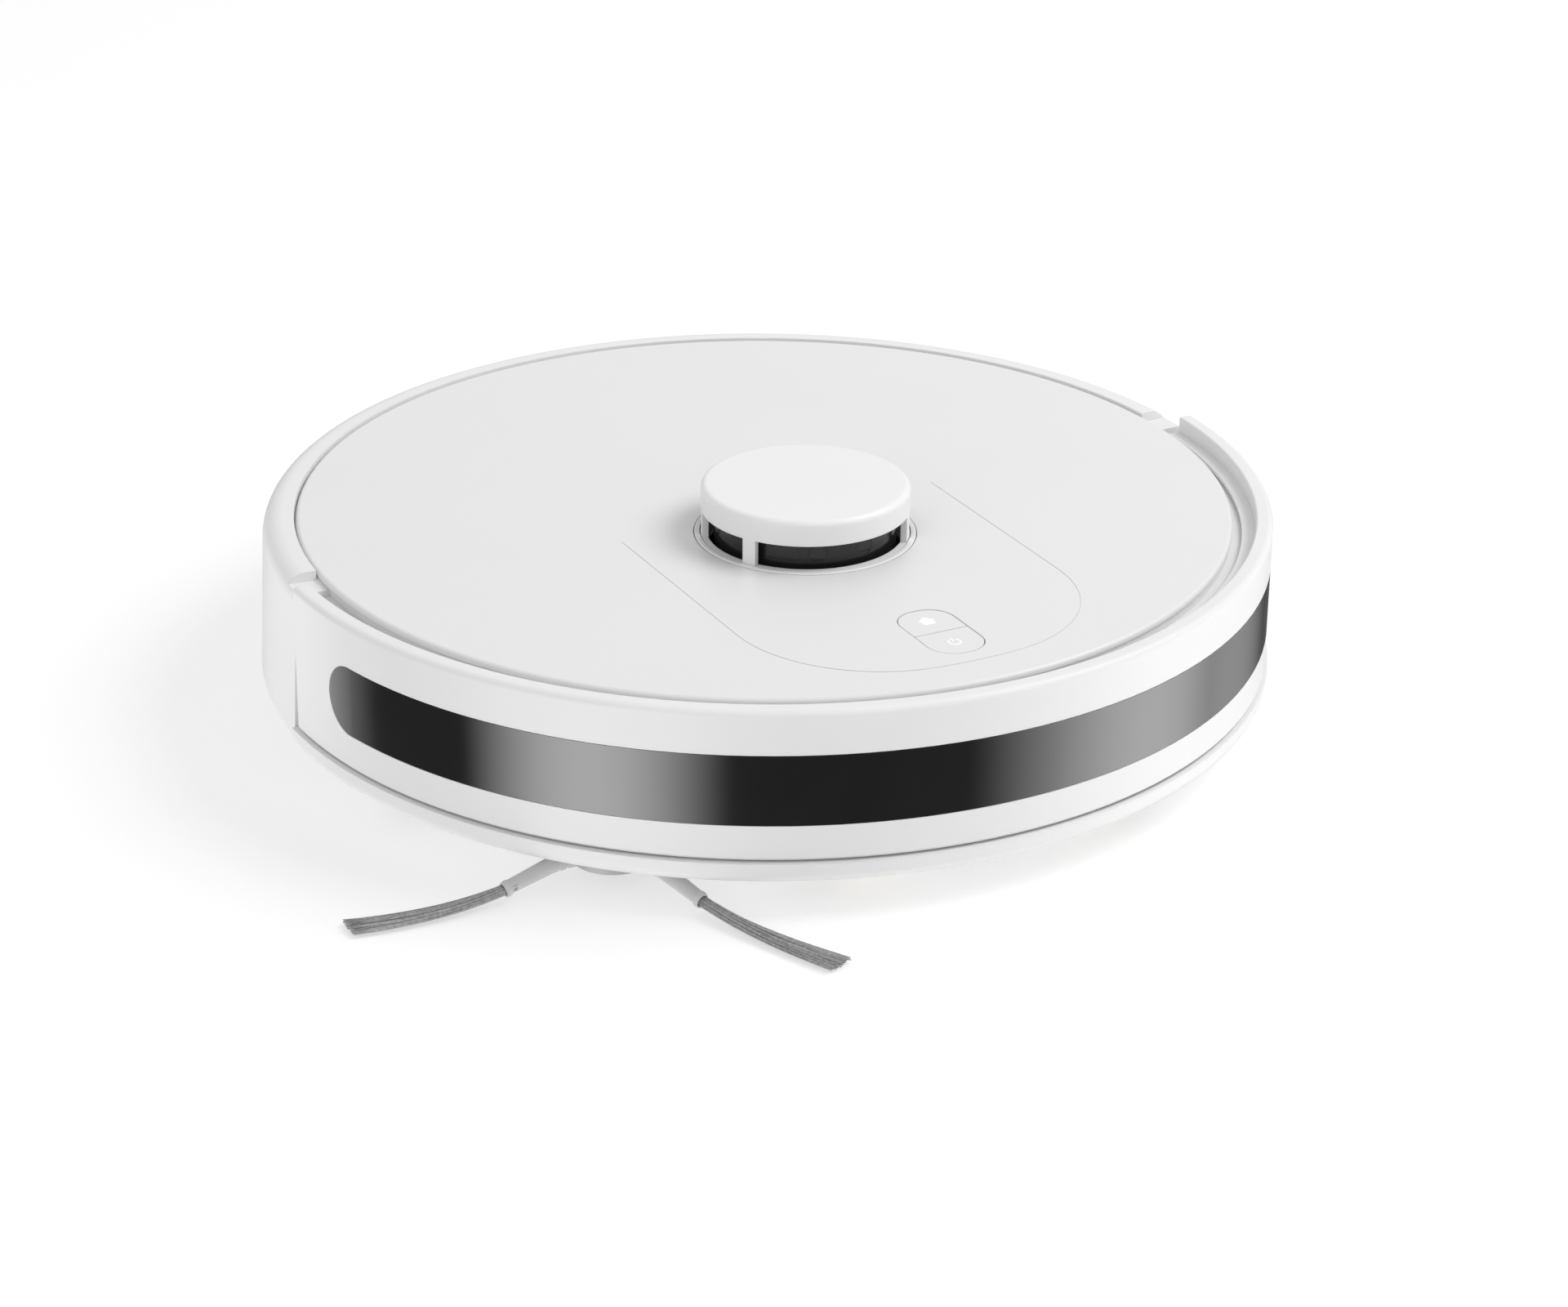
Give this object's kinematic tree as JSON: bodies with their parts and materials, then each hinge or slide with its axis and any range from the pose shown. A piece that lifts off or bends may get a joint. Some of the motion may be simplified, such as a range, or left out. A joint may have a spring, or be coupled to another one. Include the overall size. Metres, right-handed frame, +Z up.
{
  "type": "robotic floor cleaner",
  "caption": "Round robotic floor cleaner with a raised scanner turret, a dark-windowed front bumper, drive wheels, a roller brush, a side brush and a pull-out dustbin.",
  "frame": {"origin": "centre of the round body, on the floor plane that the wheels stand on", "axes": "-Y is the driving direction (front), +X is the machine's left, +Z is up"},
  "size_m": [0.3808, 0.3703, 0.0876],
  "materials": {
    "shell_white": "smooth satin moulding",
    "plate_white": "soft gloss moulding",
    "button_white": "soft gloss moulding",
    "skirt_white": "fine spark texture",
    "window_black": "polished, lets infrared through",
    "scanner_black": "polished",
    "lens_glass": "coated lens",
    "sensor_black": "fine texture",
    "bracket_dark": "fine texture",
    "housing_grey": "fine texture",
    "duct_grey": "plain moulding",
    "steel": "turned",
    "spring_steel": "drawn wire",
    "contact_metal": "plated contact",
    "board_green": "solder mask",
    "battery_wrap": "shrink wrap",
    "belt_rubber": "moulded",
    "pulley_plastic": "plain moulding",
    "tyre_rubber": "moulded tread",
    "caster_black": "plain moulding",
    "core_plastic": "plain moulding",
    "strip_rubber": "flexible strip with nylon tufts",
    "hub_plastic": "plain moulding",
    "sleeve_rubber": "soft moulding",
    "bristle_nylon": "nylon filament",
    "bin_plastic": "smooth moulding",
    "lid_plastic": "smooth moulding",
    "filter_paper": "pleated filter cloth",
    "latch_plastic": "plain moulding"
  },
  "bodies": {
    "body": {"base_chassis": "skirt_white", "upper_frame": "shell_white", "top_plate": "plate_white", "turret_ring": "shell_white", "turret_cap": "shell_white", "lidar_base": "bracket_dark", "lidar_motor": "steel", "lidar_belt": "belt_rubber", "button_board": "board_green", "bumper_springs": "spring_steel", "bump_sensors": "sensor_black", "main_board": "board_green", "battery_pack": "battery_wrap", "battery_cover": "skirt_white", "chassis_screws": "steel", "charge_contacts": "contact_metal", "cliff_windows": "sensor_black", "speaker": "sensor_black", "fan_housing": "duct_grey", "fan_motor": "steel", "left_wheel_housing": "housing_grey", "right_wheel_housing": "housing_grey", "pivot_pins": "steel", "left_spring": "spring_steel", "right_spring": "spring_steel", "caster_socket": "housing_grey", "brush_housing": "duct_grey", "brush_guard": "housing_grey", "brush_gearbox": "bracket_dark", "side_gearbox": "bracket_dark"},
    "scanner": {"lidar_rotor": "scanner_black", "lidar_lenses": "lens_glass"},
    "scanner_pulley": {"lidar_pulley": "pulley_plastic"},
    "bumper": {"bumper": "shell_white", "bumper_window": "window_black"},
    "power_button": {"power_button": "button_white"},
    "home_button": {"home_button": "button_white"},
    "fan": {"fan_impeller": "pulley_plastic"},
    "left_suspension": {"left_arm": "bracket_dark", "left_motor": "steel", "left_axle": "steel"},
    "left_wheel": {"left_hub": "housing_grey", "left_tyre": "tyre_rubber"},
    "right_suspension": {"right_arm": "bracket_dark", "right_motor": "steel", "right_axle": "steel"},
    "right_wheel": {"right_hub": "housing_grey", "right_tyre": "tyre_rubber"},
    "caster_swivel": {"caster_fork": "bracket_dark"},
    "caster_wheel": {"caster_wheel": "caster_black"},
    "roller": {"brush_core": "core_plastic", "brush_strips": "strip_rubber"},
    "side_brush": {"side_hub": "hub_plastic", "side_screw": "steel", "side_sleeves": "sleeve_rubber", "side_bristles": "bristle_nylon"},
    "dustbin": {"dustbin": "bin_plastic", "bin_lid": "lid_plastic", "filter": "filter_paper"},
    "latch": {"bin_latch": "latch_plastic"}
  },
  "joints": [
    {"name": "scanner_spin", "type": "hinge", "parent": "body", "child": "scanner", "pos_m": [0, -0.03, 0.07], "axis": [0, 0, 1], "continuous": true},
    {"name": "scanner_pulley_spin", "type": "hinge", "parent": "body", "child": "scanner_pulley", "pos_m": [0.044, -0.03, 0.055], "axis": [0, 0, 1], "continuous": true},
    {"name": "bumper_press", "type": "slide", "parent": "body", "child": "bumper", "axis": [0, 1, 0], "range_m": [0, 0.003], "stiffness_N_per_m": 600, "springref_m": -0.002, "deforming": ["bumper_springs"]},
    {"name": "power_press", "type": "slide", "parent": "body", "child": "power_button", "axis": [0, 0, -1], "range_m": [0, 0.0003], "stiffness_N_per_m": 3000, "springref_m": -0.0003},
    {"name": "home_press", "type": "slide", "parent": "body", "child": "home_button", "axis": [0, 0, -1], "range_m": [0, 0.0003], "stiffness_N_per_m": 3000, "springref_m": -0.0003},
    {"name": "fan_spin", "type": "hinge", "parent": "body", "child": "fan", "pos_m": [-0.1112, 0.0874, 0.038], "axis": [0, 0, 1], "continuous": true},
    {"name": "left_wheel_drop", "type": "hinge", "parent": "body", "child": "left_suspension", "pos_m": [0.102, -0.03, 0.027], "axis": [1, 0, 0], "range_deg": [-12, 0], "stiffness_Nm_per_rad": 0.4, "springref_deg": -34.38, "deforming": ["left_spring"]},
    {"name": "left_wheel_roll", "type": "hinge", "parent": "left_suspension", "child": "left_wheel", "pos_m": [0.123, 0.016, 0.03], "axis": [1, 0, 0], "continuous": true},
    {"name": "right_wheel_drop", "type": "hinge", "parent": "body", "child": "right_suspension", "pos_m": [-0.102, -0.03, 0.027], "axis": [1, 0, 0], "range_deg": [-12, 0], "stiffness_Nm_per_rad": 0.4, "springref_deg": -34.38, "deforming": ["right_spring"]},
    {"name": "right_wheel_roll", "type": "hinge", "parent": "right_suspension", "child": "right_wheel", "pos_m": [-0.123, 0.016, 0.03], "axis": [1, 0, 0], "continuous": true},
    {"name": "caster_turn", "type": "hinge", "parent": "body", "child": "caster_swivel", "pos_m": [0, -0.125, 0.03], "axis": [0, 0, 1], "continuous": true},
    {"name": "caster_roll", "type": "hinge", "parent": "caster_swivel", "child": "caster_wheel", "pos_m": [0, -0.121, 0.012], "axis": [1, 0, 0], "continuous": true},
    {"name": "roller_spin", "type": "hinge", "parent": "body", "child": "roller", "pos_m": [0, 0.048, 0.0215], "axis": [1, 0, 0], "continuous": true},
    {"name": "side_brush_spin", "type": "hinge", "parent": "body", "child": "side_brush", "pos_m": [-0.1091, -0.1061, 0.01], "axis": [0, 0, 1], "continuous": true},
    {"name": "bin_pull", "type": "slide", "parent": "body", "child": "dustbin", "axis": [0, 1, 0], "range_m": [0, 0.12]},
    {"name": "latch_press", "type": "slide", "parent": "dustbin", "child": "latch", "axis": [0, -1, 0], "range_m": [0, 0.002], "stiffness_N_per_m": 800, "springref_m": -0.001}
  ],
  "couplings": [
    {"joint": "scanner_pulley_spin", "follows": "scanner_spin", "ratio": 4.8}
  ]
}
